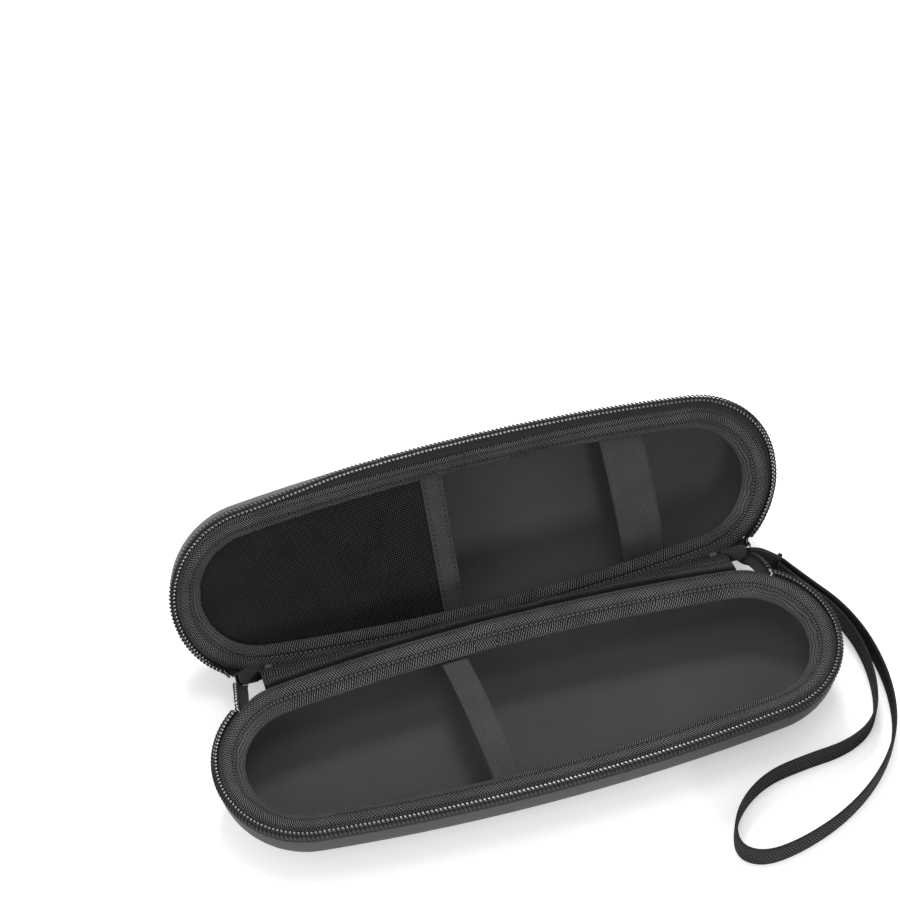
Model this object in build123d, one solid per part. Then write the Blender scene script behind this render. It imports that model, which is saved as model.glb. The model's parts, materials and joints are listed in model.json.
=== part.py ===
"""Zipped clamshell travel case for an electric toothbrush, standing open.

Frame: millimetres, origin at the middle of the tray's flat base, +X along the case,
-Y towards the tray's free side, +Y towards the hinge, +Z up. The case is one long
rounded tray and an equal lid, both with domed ends and slightly bowed sides.
"""
import os
from math import asin, atan2, cos, degrees, hypot, pi, radians, sin

from build123d import *

os.makedirs("parts", exist_ok=True)

# ---- driving dimensions -------------------------------------------------------
CASE_LENGTH = 246.0        # over the teeth, end to end
CASE_WIDTH = 82.0          # over the teeth, at the middle of the bowed sides
END_RADIUS = 36.0          # plan radius of the domed ends
HALF_DEPTH = 28.0          # floor to the plane where the two halves meet
SHELL_INSET = 1.2          # the shell stands this far inside the teeth
SHELL_WALL = 3.4           # foam and its skin
LINING_WALL = 1.0
RIM_BAND = 5.2             # from the shell's raw edge up to where the halves meet
RIM_STRAIGHT = 0.8         # upright part of the wall between its raw edge and its rounding
LID_LEAN = 60.0            # lid plane above the floor, opened
LID_BACK = 46.7            # hinge-side edge of the opened lid, behind the origin
CLOSED_GAP = 0.3           # between the halves when shut

COIL_RADIUS = 1.3
COIL_INSET = 1.35
ZIP_LEAVE_ANGLE = 52.5     # on the end arcs, where the teeth leave the rim
SLIDER_ANGLE = 70.0        # where the sliders park when shut
STOP_ANGLE = 83.4          # where the teeth are stopped beside the hinge
TAIL_SHARE = 0.75          # radius of the loose teeth against those on the rim
SLIDER_STAND = 1.4         # the zip ends stand off the rim, clear of its tape
ZIP_SLACK = (4.0, 0.5)     # the open zip ends hang this far behind and above halfway

TAPE_THICK = 1.2           # woven binding tape round each opening
TAPE_LINE = [(4.1, 1.7), (5.2, 0.6), (7.6, 1.1), (12.4, 4.7)]   # inset, depth below the rim

STRAP_THICK = 1.2
TRAY_STRAP_WIDTH = 10.4
TRAY_STRAP_X = -20.2
TRAY_STRAP_TURN = 4.3      # degrees, sewn in slightly askew
TRAY_STRAP_DEPTH = 8.4     # below the rim where it is sewn in
TRAY_STRAP_RISE = 4.6
LID_STRAP_WIDTH = 17.7
LID_STRAP_X = 65.0
LID_STRAP_TURN = 3.0
LID_STRAP_DEPTH = 8.6
LID_STRAP_RISE = 3.4
POCKET_MOUTH_X = -9.3      # mouth of the mesh pocket, in the lid
POCKET_BAND_WIDTH = 8.7
POCKET_DEPTH = 6.8         # depth of the mesh below the lid's opening
MESH_THICK = 0.6
BAND_THICK = 1.0

COVER_HALF = 77.5          # half length of the spine cover
COVER_THICK = 0.8
COVER_SLACK = 4.2
COVER_ON_LID = 9.2         # how far the cover reaches down the lid's wall
GUSSET_THICK = 0.7
GUSSET_SLACK = 3.6
COVER_START = 6.6          # below the shell's raw edge
STOP_SIZE = (3.4, 5.4, 3.2)
SEAT_GAP = 0.3             # between cloth and what it is sewn to

PLATE_LONG = 9.4           # zip slider
PLATE_WIDE = 5.4
PLATE_THICK = 0.8
CHANNEL = 3.1
BAIL_HIGH = 2.9
BAIL_LONG = 7.2
BAIL_WIDE = 1.7
BAIL_STOCK = 1.1
PULL_WIRE = 0.62           # radius
LOOP_REACH = 5.2

WEB_WIDTH = 10.0           # wrist strap webbing
WEB_THICK = 1.3
FLOOR_CLEAR = 0.3

# ---- derived ------------------------------------------------------------------
SHELL_RIM = HALF_DEPTH - RIM_BAND
DOME_RADIUS = SHELL_RIM - RIM_STRAIGHT     # bottom edge rounding of each shell
TAPE_PROFILE = [(inset, HALF_DEPTH - depth) for inset, depth in TAPE_LINE]
POCKET_LEVEL = HALF_DEPTH - POCKET_DEPTH
HALF_LENGTH = CASE_LENGTH / 2
HALF_WIDTH = CASE_WIDTH / 2
END_X = HALF_LENGTH - END_RADIUS
SIDE_RADIUS = (END_X ** 2 + HALF_WIDTH ** 2 - END_RADIUS ** 2) / (2 * (HALF_WIDTH - END_RADIUS))
SIDE_Y = HALF_WIDTH - SIDE_RADIUS
TANGENT = degrees(atan2(-SIDE_Y, END_X))
INNER = SHELL_INSET + SHELL_WALL           # inside face of the foam
CAVITY = INNER + LINING_WALL               # inside face of the lining
LEAN = radians(LID_LEAN)
LID_UP = (DOME_RADIUS * (1 - sin(LEAN)) - SHELL_INSET * sin(LEAN)
          + (HALF_DEPTH - DOME_RADIUS) * cos(LEAN))
TURN = 180.0 - LID_LEAN                    # from open to shut
CLOSED_Z = HALF_DEPTH + CLOSED_GAP


def turning_centre(start, end, degrees_turned):
    """Centre in the Y-Z plane of the turn about +X that carries start to end."""
    dy, dz = end[0] - start[0], end[1] - start[1]
    chord = hypot(dy, dz)
    half = radians(degrees_turned) / 2
    off = chord / 2 / sin(half) * cos(half)
    return ((start[0] + end[0]) / 2 - dz / chord * off,
            (start[1] + end[1]) / 2 + dy / chord * off)


HINGE = turning_centre((LID_BACK, LID_UP), (HALF_WIDTH, CLOSED_Z), TURN)
print("hinge axis y, z:", [round(v, 3) for v in HINGE], "lid edge height", round(LID_UP, 3))
print("side arc radius", round(SIDE_RADIUS, 2), "tangent angle", round(TANGENT, 3))


def lid_place():
    """Where the lid stands: built like the tray, then leant back behind it."""
    y = LID_BACK + HALF_WIDTH * cos(LEAN) + HALF_DEPTH * sin(LEAN)
    z = LID_UP + HALF_WIDTH * sin(LEAN) - HALF_DEPTH * cos(LEAN)
    return Location((0, y, z), (LID_LEAN, 0, 0))


LID = lid_place()


# ---- outline helpers ----------------------------------------------------------
def side_drop(x):
    """How far the bowed side has curved in at x."""
    return SIDE_RADIUS - (SIDE_RADIUS ** 2 - x ** 2) ** 0.5


def outline(inset):
    """The case's plan, four tangent arcs, offset inwards."""
    x = END_X + (END_RADIUS - inset) * cos(radians(TANGENT))
    y = (END_RADIUS - inset) * sin(radians(TANGENT))
    edges = [
        ThreePointArc((x, -y), (HALF_LENGTH - inset, 0), (x, y)),
        ThreePointArc((x, y), (0, HALF_WIDTH - inset), (-x, y)),
        ThreePointArc((-x, y), (-HALF_LENGTH + inset, 0), (-x, -y)),
        ThreePointArc((-x, -y), (0, -HALF_WIDTH + inset), (x, -y)),
    ]
    return make_face(edges)


def block(inset, low, high, rounding):
    """A solid of the plan between two heights with its bottom edge rounded."""
    body = extrude(Pos(0, 0, low) * outline(inset), amount=high - low)
    return fillet(body.edges().group_by(Axis.Z)[0], rounding)


def arc_part(profile, centre, radius, first, last):
    """Sweep a profile, drawn as inset and height, round one arc of the plan."""
    a = radians(first)
    origin = (centre[0], centre[1], 0)
    plane = Plane(origin=origin, x_dir=(cos(a), sin(a), 0), z_dir=(sin(a), -cos(a), 0))
    return revolve(plane * profile(radius), Axis(origin, (0, 0, 1)), last - first)


def along_plan(profile, gap_side=0, gap_angle=90.0):
    """Sweep a profile round the plan; gap_side +1 or -1 leaves that side open."""
    back = TANGENT if gap_side <= 0 else gap_angle
    front = TANGENT if gap_side >= 0 else gap_angle
    right, left = (END_X, 0), (-END_X, 0)
    pieces = [arc_part(profile, right, END_RADIUS, -front, back),
              arc_part(profile, left, END_RADIUS, 180 - back, 180 + front)]
    if gap_side <= 0:
        pieces.append(arc_part(profile, (0, SIDE_Y), SIDE_RADIUS, TANGENT, 180 - TANGENT))
    if gap_side >= 0:
        pieces.append(arc_part(profile, (0, -SIDE_Y), SIDE_RADIUS,
                               180 + TANGENT, 360 - TANGENT))
    body = pieces[0]
    for piece in pieces[1:]:
        body = body + piece
    return body


def polygon_profile(points):
    """A closed section given as inset and height."""
    return lambda radius: Polygon(*[(radius - i, z) for i, z in points], align=None)


def round_profile(inset, height, size):
    return lambda radius: Pos(radius - inset, height) * Circle(size)


def plate(points, thick, x_from, x_to):
    """A thin sheet whose section follows points (y, z), extruded along X."""
    upper = [(y, z + thick / 2) for y, z in points]
    lower = [(y, z - thick / 2) for y, z in reversed(points)]
    section = Plane.YZ.offset(x_from) * Polygon(*(upper + lower), align=None)
    return extrude(section, amount=x_to - x_from, dir=(1, 0, 0))


# ---- the half shells ----------------------------------------------------------
def shell():
    outer = block(SHELL_INSET, 0, SHELL_RIM, DOME_RADIUS)
    return outer - block(INNER, SHELL_WALL, SHELL_RIM + 5, DOME_RADIUS - SHELL_WALL)


def lining():
    floor = SHELL_WALL + LINING_WALL
    outer = block(INNER, SHELL_WALL, SHELL_RIM + 0.9, DOME_RADIUS - SHELL_WALL)
    return outer - block(CAVITY, floor, SHELL_RIM + 5, DOME_RADIUS - floor)


def binding_tape():
    """Woven tape that rolls from the rim into the opening."""
    lower = [(i, z - TAPE_THICK) for i, z in reversed(TAPE_PROFILE)]
    return along_plan(polygon_profile(TAPE_PROFILE + lower))


def zip_tape(side):
    """The strip of tape between the shell's raw edge and the teeth."""
    top = HALF_DEPTH - 2 * COIL_RADIUS - 0.03
    points = [(1.5, SHELL_RIM), (2.6, SHELL_RIM), (2.6, top), (1.5, top)]
    return along_plan(polygon_profile(points), side, ZIP_LEAVE_ANGLE)


def zip_coil(side):
    height = HALF_DEPTH - COIL_RADIUS - 0.03
    return along_plan(round_profile(COIL_INSET, height, COIL_RADIUS), side, ZIP_LEAVE_ANGLE)


# ---- straps and pocket --------------------------------------------------------
def arched_strap(width, x, turn, low, rise):
    """Elastic sewn into both walls, standing a little proud in the middle."""
    slew = radians(turn)
    reach = ((HALF_WIDTH - CAVITY - 0.2 - width / 2 * sin(slew)) / cos(slew)
             - side_drop(abs(x) + width / 2 + HALF_WIDTH * sin(slew)))
    n = 12
    path = []
    for k in range(n + 1):
        y = -reach + 2 * reach * k / n
        path.append((y, low + rise * (1 - (y / reach) ** 2)))
    strap = plate(path, STRAP_THICK, -width / 2, width / 2)
    return Pos(x, 0, 0) * Rot(0, 0, turn) * strap


def mesh_pocket():
    sheet = extrude(Pos(0, 0, POCKET_LEVEL) * outline(CAVITY + 0.2), amount=MESH_THICK)
    edge = POCKET_MOUTH_X - POCKET_BAND_WIDTH
    keep = Pos(edge - CASE_LENGTH / 2, 0, POCKET_LEVEL) * Box(CASE_LENGTH, CASE_WIDTH, 10)
    return sheet & keep


def pocket_band():
    sheet = extrude(Pos(0, 0, POCKET_LEVEL - 0.2) * outline(CAVITY + 0.2), amount=BAND_THICK)
    keep = (Pos(POCKET_MOUTH_X - POCKET_BAND_WIDTH / 2, 0, POCKET_LEVEL)
            * Box(POCKET_BAND_WIDTH, CASE_WIDTH, 10))
    return sheet & keep


# ---- what bends across the hinge ----------------------------------------------
def lid_point(inset, depth):
    """A point of the lid's hinge side, by inset from its edge and depth below its rim."""
    y = LID_BACK + inset * cos(LEAN) + depth * sin(LEAN)
    z = LID_UP + inset * sin(LEAN) - depth * cos(LEAN)
    return y, z


def sheet_section(x, points, thick):
    """Closed thin section at x from a centreline of (y, z) points."""
    left, right = [], []
    for k, (y, z) in enumerate(points):
        a = points[max(k - 1, 0)]
        b = points[min(k + 1, len(points) - 1)]
        dy, dz = b[0] - a[0], b[1] - a[1]
        size = hypot(dy, dz)
        ny, nz = -dz / size * thick / 2, dy / size * thick / 2
        left.append((x, y + ny, z + nz))
        right.append((x, y - ny, z - nz))
    return Face(Wire.make_polygon(left + right[::-1], close=True))


def cover_points(x):
    """Outer skin: up the tray's back wall, over in a tight fold, down to the lid."""
    drop = side_drop(x)
    stand = COVER_THICK / 2 + SEAT_GAP
    wall = HALF_WIDTH - SHELL_INSET - drop + stand
    inset = SHELL_INSET + drop - stand
    edge = lid_point(inset, HALF_DEPTH - SHELL_RIM)
    end = lid_point(inset, COVER_ON_LID)
    rim = SHELL_RIM
    points = [(wall, rim - COVER_START), (wall, rim - 2.2), (wall + 0.1, rim - 0.5),
              (wall + 0.6, rim + 0.4), (wall + 1.4, rim + 0.8), (wall + 2.3, rim + 0.4),
              (wall + 2.9, rim - 0.8)]
    for share in (0.25, 0.5, 0.75):
        y = wall + 2.9 + (edge[0] - wall - 2.9) * share
        z = rim - 0.8 + (edge[1] - rim + 0.8) * share
        bow = COVER_SLACK * 4 * share * (1 - share)
        points.append((y - 0.86 * bow, z - 0.5 * bow))
    return points + [edge, end]


def gusset_points(x):
    """Inner cloth: from under the tray's binding tape down to the lid's."""
    drop = side_drop(x)
    inset = TAPE_PROFILE[0][0] + 0.2 + drop
    low = TAPE_PROFILE[0][1] - TAPE_THICK - GUSSET_THICK / 2 - 0.4
    start = (HALF_WIDTH - inset, low)
    turn = lid_point(drop + 2.2, 0.9)
    under = lid_point(drop + 2.4, 2.6)
    end = lid_point(inset, HALF_DEPTH - low)
    over = HALF_WIDTH - drop
    points = [start, (start[0] + 1.8, low + 0.2), (over - 0.3, low + 0.5),
              (over + 1.7, low + 0.1)]
    for share in (0.18, 0.36, 0.55, 0.75, 0.9):
        y = over + 1.7 + (turn[0] - over - 1.7) * share
        z = low + (turn[1] - low) * share
        bow = GUSSET_SLACK * 4 * share * (1 - share)
        points.append((y + 0.8 * bow, z + 0.5 * bow))
    return points + [turn, under, end]


def crossing_sheet(points_at, thick, half, steps):
    sections = [sheet_section(-half + 2 * half * k / steps, points_at(-half + 2 * half * k / steps),
                              thick) for k in range(steps + 1)]
    return Solid.make_loft([s.outer_wire() for s in sections], ruled=True)


# ---- zip ends, sliders and pulls ----------------------------------------------
SWING = TURN / 2
PIN_Z = CHANNEL / 2 + PLATE_THICK + (BAIL_HIGH - BAIL_STOCK) / 2 + 0.1


def zip_end_shut(sign, angle, stand=0.0):
    """Point on the shut zip line, on the hinge side of an end arc."""
    a = radians(angle)
    radius = END_RADIUS - COIL_INSET + stand
    return sign * (END_X + radius * cos(a)), radius * sin(a)


def swing_centre():
    """Axis about which the zip ends swing by half the lid's turn."""
    y = zip_end_shut(1, SLIDER_ANGLE)[1]
    far = lid_point(HALF_WIDTH - y, COIL_RADIUS)
    near = (y, HALF_DEPTH - COIL_RADIUS)
    rest = ((near[0] + far[0]) / 2 + ZIP_SLACK[0], (near[1] + far[1]) / 2 + ZIP_SLACK[1])
    shut = (y, HALF_DEPTH + CLOSED_GAP / 2)
    return turning_centre(rest, shut, SWING), rest, shut


SWING_AXIS, SLIDER_REST, SLIDER_SHUT = swing_centre()
print("zip end swing axis y, z:", [round(v, 3) for v in SWING_AXIS],
      "rest", [round(v, 2) for v in SLIDER_REST], "shut", [round(v, 2) for v in SLIDER_SHUT])


def swing_back():
    """Carries anything placed on the shut zip to where it hangs when open."""
    there = Location((0, SWING_AXIS[0], SWING_AXIS[1]), (-SWING, 0, 0))
    return there * Location((0, -SWING_AXIS[0], -SWING_AXIS[1]))


def zip_frame(sign, angle):
    """Frame on the open zip end: local X towards the hinge, local Z outwards."""
    x, y = zip_end_shut(sign, angle, SLIDER_STAND)
    a = radians(angle)
    plane = Plane(origin=(x, y, SLIDER_SHUT[1]), x_dir=(-sign * sin(a), cos(a), 0),
                  z_dir=(sign * cos(a), sin(a), 0))
    return swing_back() * plane.location


def zip_stop():
    """Moulded box that closes the teeth beside the hinge; X along, Z outward."""
    body = Box(*STOP_SIZE)
    return fillet(body.edges().filter_by(Axis.Z), 1.0)


def slider_plate():
    nose, waist, side = 1.9, 2.6, PLATE_WIDE / 2
    front, back = -PLATE_LONG / 2, PLATE_LONG / 2
    points = [(front, -nose), (front + 2, -side), (1.2, -side), (back, -waist),
              (back, waist), (1.2, side), (front + 2, side), (front, nose)]
    sheet = extrude(Polygon(*points, align=None), amount=PLATE_THICK)
    return fillet(sheet.edges().filter_by(Axis.Z), 0.6)


def slider_body():
    """Two plates round the teeth, joined by the wedge at the nose, and side lips."""
    low = Pos(0, 0, -CHANNEL / 2 - PLATE_THICK) * slider_plate()
    high = Pos(0, 0, CHANNEL / 2) * slider_plate()
    wedge = Pos(2.1 - PLATE_LONG / 2, 0, 0) * Box(2.2, 1.3, CHANNEL)
    body = low + high + wedge
    for side in (-1, 1):
        lip = Pos(-0.6, side * (PLATE_WIDE / 2 - 0.35), CHANNEL / 2 - 0.45) * Box(4.0, 0.7, 0.9)
        body += lip
    return body


def slider_bail():
    """Arched bridge on the outer plate that the pull hangs from."""
    base = CHANNEL / 2 + PLATE_THICK
    arch = Pos(0, 0, base + BAIL_HIGH / 2) * Box(BAIL_LONG, BAIL_WIDE, BAIL_HIGH)
    arch = fillet(arch.edges().filter_by(Axis.Y).group_by(Axis.Z)[-1], 1.6)
    inside = BAIL_HIGH - BAIL_STOCK
    return arch - Pos(0, 0, base + inside / 2) * Box(BAIL_LONG - 2 * BAIL_STOCK, 4, inside)


def rod(start, end, radius):
    """A round bar between two points, with a ball at its start."""
    a, b = Vector(*start), Vector(*end)
    plane = Plane(origin=a, z_dir=(b - a).normalized())
    return extrude(plane * Circle(radius), amount=(b - a).length) + Pos(*start) * Sphere(radius)


def wire_loop(corners, radius):
    loop = rod(corners[-1], corners[0], radius)
    for a, b in zip(corners, corners[1:]):
        loop += rod(a, b, radius)
    return loop


def ring_pull():
    """Plain oval metal pull: cross pin under the bail, two arms and the oval."""
    half = BAIL_WIDE / 2 + 1.1
    corners = [(0, -half, 0), (0, half, 0), (3.0, half, 0), (3.0, -half, 0)]
    long_half, wide_half, stock = 4.4, 2.8, 0.7
    centre = Pos(3.0 + long_half - 0.3, 0, -stock)
    oval = extrude(centre * Ellipse(long_half, wide_half), amount=2 * stock)
    hole = extrude(centre * Ellipse(long_half - 1.3, wide_half - 1.3), amount=2 * stock)
    return wire_loop(corners, PULL_WIRE) + (oval - hole)


def strap_loop():
    """Wire loop that carries the webbing sleeve."""
    half = BAIL_WIDE / 2 + 1.3
    corners = [(0, -half, 0), (0, half, 0), (LOOP_REACH, 3.4, 0), (LOOP_REACH, -3.4, 0)]
    return wire_loop(corners, PULL_WIRE)


def tail_points(sign):
    """Where the loose teeth run from each rim to the slider's nose."""
    x, y = zip_end_shut(sign, ZIP_LEAVE_ANGLE)
    high = HALF_DEPTH - COIL_RADIUS - 0.03
    spot = zip_frame(sign, SLIDER_ANGLE) * Pos(-PLATE_LONG / 2 - 1.35, 0, 0)
    nose = spot.position
    split = Vector(0, sin(radians(SWING)), cos(radians(SWING))) * 1.5
    step = COIL_RADIUS * TAIL_SHARE + 0.1
    x -= sign * step * sin(radians(ZIP_LEAVE_ANGLE))
    y += step * cos(radians(ZIP_LEAVE_ANGLE))
    far = lid_point(HALF_WIDTH - y, HALF_DEPTH - high)
    tray_run = [(x, y, high), (x - sign * 1.2, y + 8.4, high - 1.0), tuple(nose - split)]
    lid_run = [(x, far[0], far[1]), (x - sign * 1.0, far[0] - 4.0, far[1] + 2.8),
               tuple(nose + split)]
    return tray_run, lid_run


def zip_tail(points):
    size = COIL_RADIUS * TAIL_SHARE
    ball = Pos(*points[2]) * Sphere(size)
    return rod(points[0], points[1], size) + rod(points[1], points[2], size) + ball


# ---- wrist strap --------------------------------------------------------------
# Plan of the webbing, which stands on its edge on the floor: out to the right of the
# case, round the free loop, and back beside itself to the sleeve.
EDGE_Z = FLOOR_CLEAR + WEB_WIDTH / 2
STRAP_SWING = -117.0       # how the strap's pull lies over on its bail
SLEEVE_RUN = (9.8, -3.4, -3.6)
TACK = (2.2, 6.4, 9.4)     # bar tack block where both strands enter the sleeve


def pull_location(sign, angle):
    """Frame of a pull: origin on its pin, +X the way it lies."""
    return zip_frame(sign, SLIDER_ANGLE) * Pos(0, 0, PIN_Z) * Rot(0, angle, 0)


def sleeve_ends():
    """Where the sleeve starts over the wire loop, and where the strands enter it."""
    start = (pull_location(1, STRAP_SWING) * Pos(LOOP_REACH + PULL_WIRE + 0.9, 0, 0)).position
    return start, start + Vector(*SLEEVE_RUN)


def from_sleeve(offsets):
    """Plan points measured from where the strands enter the sleeve."""
    end = sleeve_ends()[1]
    return [(end.X + x, end.Y + y) for x, y in offsets]


OUT_RUN = from_sleeve([(4.71, -1.93), (12.81, -13.83), (20.31, -28.93), (24.11, -47.43),
                       (23.11, -69.43), (17.11, -89.93), (4.31, -105.93), (-14.19, -118.43),
                       (-35.19, -125.73), (-51.69, -127.23)])
BACK_RUN = from_sleeve([(-59.79, -119.93), (-53.69, -105.43), (-39.19, -95.23),
                        (-22.19, -92.43), (-3.19, -91.23), (10.81, -83.93), (17.61, -68.43),
                        (19.81, -48.43), (16.11, -30.43), (8.71, -17.23), (2.11, -3.93)])


def web_path():
    return OUT_RUN + BACK_RUN


def corner_radii(points):
    """Arc radius at each corner: 0.45 of the shorter run over tan of half the turn."""
    radii = []
    for k in range(1, len(points) - 1):
        a, b, c = points[k - 1], points[k], points[k + 1]
        one = hypot(b[0] - a[0], b[1] - a[1])
        two = hypot(c[0] - b[0], c[1] - b[1])
        t1 = atan2(b[1] - a[1], b[0] - a[0])
        t2 = atan2(c[1] - b[1], c[0] - b[0])
        turn = abs((t2 - t1 + pi) % (2 * pi) - pi)
        radii.append(0.45 * min(one, two) / (sin(turn / 2) / cos(turn / 2)))
    return radii


def web_line(points, radii):
    """Runs and tangent arcs as one plan wire."""
    edges = []
    last = points[0]
    for k, r in enumerate(radii, start=1):
        a, b, c = points[k - 1], points[k], points[k + 1]
        ua = unit((a[0] - b[0], a[1] - b[1]))
        uc = unit((c[0] - b[0], c[1] - b[1]))
        dot = max(-1.0, min(1.0, ua[0] * uc[0] + ua[1] * uc[1]))
        half = 0.5 * (pi - asin_safe(dot))
        cut = r * sin(half) / cos(half)
        p1 = (b[0] + ua[0] * cut, b[1] + ua[1] * cut)
        p2 = (b[0] + uc[0] * cut, b[1] + uc[1] * cut)
        mid = unit((ua[0] + uc[0], ua[1] + uc[1]))
        away = r / cos(half) - r
        pm = (b[0] + mid[0] * away, b[1] + mid[1] * away)
        edges.append(Line(last, p1))
        edges.append(ThreePointArc(p1, pm, p2))
        last = p2
    edges.append(Line(last, points[-1]))
    return edges


def asin_safe(dot):
    """Angle between the two runs at a corner, from the cosine."""
    return atan2((1 - dot * dot) ** 0.5, dot)


def unit(v):
    size = hypot(v[0], v[1])
    return (v[0] / size, v[1] / size)


def webbing():
    """The strap as a thin upright strip along its route."""
    points = web_path()
    radii = corner_radii(points)
    print("webbing corner radii", [round(r, 1) for r in radii])
    wire = Wire(web_line(points, radii))
    print("webbing length on the floor", round(wire.length, 1))
    strip = trace(Wire(web_line(points, radii)), line_width=WEB_THICK)
    return extrude(Pos(0, 0, FLOOR_CLEAR) * strip, amount=WEB_WIDTH)


def sleeve():
    """Doubled webbing over the wire loop, opening from a pinched end to full height."""
    start, end = sleeve_ends()
    direction = (end - start).normalized()
    across = direction.cross(Vector(0, 0, 1)).normalized()
    wires = []
    for share, wide, tall in ((0, 2.6, 5.4), (0.45, 3.4, 8.4), (1, 4.2, 9.6)):
        plane = Plane(origin=start + (end - start) * share, x_dir=across, z_dir=direction)
        wires.append((plane * RectangleRounded(wide, tall, wide * 0.35)).wire())
    return Solid.make_loft(wires, ruled=True)


def tack():
    """Bar tack: its face meets both strands where they start."""
    along = unit((OUT_RUN[1][0] - OUT_RUN[0][0], OUT_RUN[1][1] - OUT_RUN[0][1]))
    x = (OUT_RUN[0][0] + BACK_RUN[-1][0]) / 2 - along[0] * (TACK[0] / 2 + 0.6)
    y = (OUT_RUN[0][1] + BACK_RUN[-1][1]) / 2 - along[1] * (TACK[0] / 2 + 0.6)
    z = FLOOR_CLEAR + 0.3 + TACK[2] / 2
    return Pos(x, y, z) * Rot(0, 0, degrees(atan2(along[1], along[0]))) * Box(*TACK)


# ---- write the pieces ---------------------------------------------------------
def save(shape, name, place=None):
    if place is not None:
        shape = place * shape
    solids = shape.solids()
    volume = sum(s.volume for s in solids)
    box = shape.bounding_box()
    print(f"{name:22s} solids {len(solids)} volume {volume:9.1f} "
          f"z {box.min.Z:7.2f}..{box.max.Z:6.2f} y {box.min.Y:7.2f}..{box.max.Y:6.2f} "
          f"x {box.min.X:7.2f}..{box.max.X:6.2f}")
    export_step(shape, f"parts/{name}.step")


def build():
    bowl, cloth, tape = shell(), lining(), binding_tape()
    for name, place, side in (("tray", None, 1), ("lid", LID, -1)):
        save(bowl, f"{name}_shell", place)
        save(cloth, f"{name}_lining", place)
        save(tape, f"{name}_binding_tape", place)
        save(zip_tape(side), f"{name}_zip_tape", place)
        save(zip_coil(side), f"{name}_zip_coil", place)

    save(arched_strap(TRAY_STRAP_WIDTH, TRAY_STRAP_X, TRAY_STRAP_TURN,
                      HALF_DEPTH - TRAY_STRAP_DEPTH, TRAY_STRAP_RISE), "tray_strap")
    save(arched_strap(LID_STRAP_WIDTH, LID_STRAP_X, LID_STRAP_TURN,
                      HALF_DEPTH - LID_STRAP_DEPTH, LID_STRAP_RISE), "lid_strap", LID)
    save(mesh_pocket(), "mesh_pocket", LID)
    save(pocket_band(), "pocket_band", LID)

    save(crossing_sheet(cover_points, COVER_THICK, COVER_HALF, 10), "spine_cover")
    stop_x = zip_end_shut(1, STOP_ANGLE)[0]
    gusset_half = stop_x - STOP_SIZE[0] / 2 - 2 * SEAT_GAP
    save(crossing_sheet(gusset_points, GUSSET_THICK, gusset_half, 12), "hinge_gusset")

    ends = ((1, "right", "strap_slider"), (-1, "left", "ring_slider"))
    for sign, side, name in ends:
        save(zip_frame(sign, STOP_ANGLE) * zip_stop(), f"zip_stop_{side}")
        save(zip_frame(sign, SLIDER_ANGLE) * slider_body(), f"{name}_body")
        save(zip_frame(sign, SLIDER_ANGLE) * slider_bail(), f"{name}_bail")
        tray_run, lid_run = tail_points(sign)
        save(zip_tail(tray_run), f"tray_zip_tail_{side}")
        save(zip_tail(lid_run), f"lid_zip_tail_{side}")
    save(pull_location(-1, -SLIDER_ANGLE) * ring_pull(), "ring_pull")
    save(pull_location(1, STRAP_SWING) * strap_loop(), "strap_pull")
    save(sleeve(), "strap_sleeve")
    save(tack(), "strap_tack")
    save(webbing(), "wrist_strap")


build()
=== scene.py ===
# %% [markdown]
# # A zipped travel case for an electric toothbrush, standing open
# The case is two moulded foam half shells, a tray and a lid, joined by soft cloth at the
# hinge and closed by a coil zip. The imported model is loaded first and stays still: every
# piece made below sits on it, and most move with one of its bodies.

# %% Load the imported model
import json
from math import atan2, cos, hypot, pi, radians, sin, sqrt

import bpy
from mathutils import Matrix, Vector, noise

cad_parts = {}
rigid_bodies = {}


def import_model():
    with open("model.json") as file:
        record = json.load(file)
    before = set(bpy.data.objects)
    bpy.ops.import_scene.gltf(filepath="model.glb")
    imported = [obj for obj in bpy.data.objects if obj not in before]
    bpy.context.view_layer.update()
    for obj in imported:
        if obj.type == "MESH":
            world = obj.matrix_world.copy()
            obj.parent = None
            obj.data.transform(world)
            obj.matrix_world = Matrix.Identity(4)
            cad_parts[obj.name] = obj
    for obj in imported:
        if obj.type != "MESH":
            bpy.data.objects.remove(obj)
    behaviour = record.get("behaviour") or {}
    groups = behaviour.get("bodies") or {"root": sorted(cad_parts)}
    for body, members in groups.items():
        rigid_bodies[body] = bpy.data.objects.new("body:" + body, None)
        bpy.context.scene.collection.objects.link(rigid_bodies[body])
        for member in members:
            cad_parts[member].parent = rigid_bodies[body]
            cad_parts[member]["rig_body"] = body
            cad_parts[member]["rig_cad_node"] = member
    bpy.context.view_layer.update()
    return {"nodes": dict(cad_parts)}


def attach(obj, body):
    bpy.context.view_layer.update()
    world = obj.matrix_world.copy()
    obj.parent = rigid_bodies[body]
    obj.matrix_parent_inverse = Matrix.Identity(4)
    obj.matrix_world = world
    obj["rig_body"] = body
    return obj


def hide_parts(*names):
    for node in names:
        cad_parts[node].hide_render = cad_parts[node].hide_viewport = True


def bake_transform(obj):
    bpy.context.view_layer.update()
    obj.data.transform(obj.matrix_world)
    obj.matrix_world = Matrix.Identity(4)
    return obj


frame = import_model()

MM = 0.001

# %% [markdown]
# ## The camera
# A product picture is taken from in front and above with a long lens, so the sides of the
# case stay nearly parallel. The camera is built from its aim, its two angles and a small
# roll, because those are easy to read and to change.

# %% Camera
AZIMUTH, ELEVATION, ROLL = -14.327, 49.617, -2.486
AIM = Vector((10.335, 148.369, 0.0)) * MM
CAMERA_DISTANCE = 1.0
LENS, FAR_CLIP = 94.089, 20

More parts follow.
